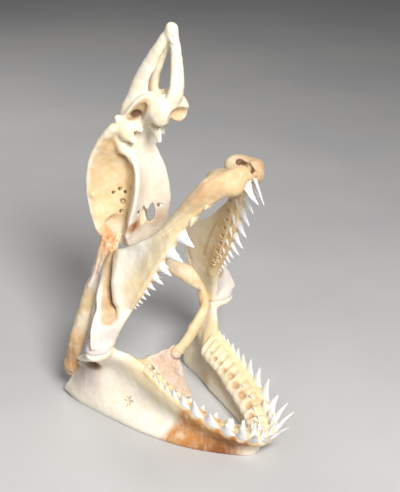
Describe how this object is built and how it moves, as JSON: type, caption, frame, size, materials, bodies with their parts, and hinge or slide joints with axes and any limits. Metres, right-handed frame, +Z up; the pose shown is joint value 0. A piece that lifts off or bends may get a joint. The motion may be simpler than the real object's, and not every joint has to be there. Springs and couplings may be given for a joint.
{
  "type": "mako shark skull",
  "caption": "Dry cartilage skull of a mako shark with gaping toothed jaws, a raised braincase and snout bars, resting on its lower jaw as a display piece.",
  "frame": {"origin": "on the floor under the middle of the whole skull", "axes": "+Z up along the raised snout, -Y forward out of the mouth, +X to the animal's left"},
  "size_m": [0.224, 0.2798, 0.4498],
  "materials": {
    "cartilage": "dry mineralised cartilage, cream to ivory with ochre hollows and a soft sheen",
    "dried_tissue": "dried connective tissue, amber to orange-brown, knobbly",
    "tongue_plate": "dried tongue cartilage under a thin pinkish brown skin",
    "enamel": "glossy white tooth enamel, cream at the root"
  },
  "bodies": {
    "root": {"chondrocranium": "cartilage", "palatoquadrate_left": "cartilage", "palatoquadrate_right": "cartilage", "meckels_cartilage_left": "cartilage", "meckels_cartilage_right": "cartilage", "hyomandibula_left": "dried_tissue", "hyomandibula_right": "dried_tissue", "ceratohyal_left": "cartilage", "ceratohyal_right": "cartilage", "basihyal": "tongue_plate"}
  },
  "joints": []
}
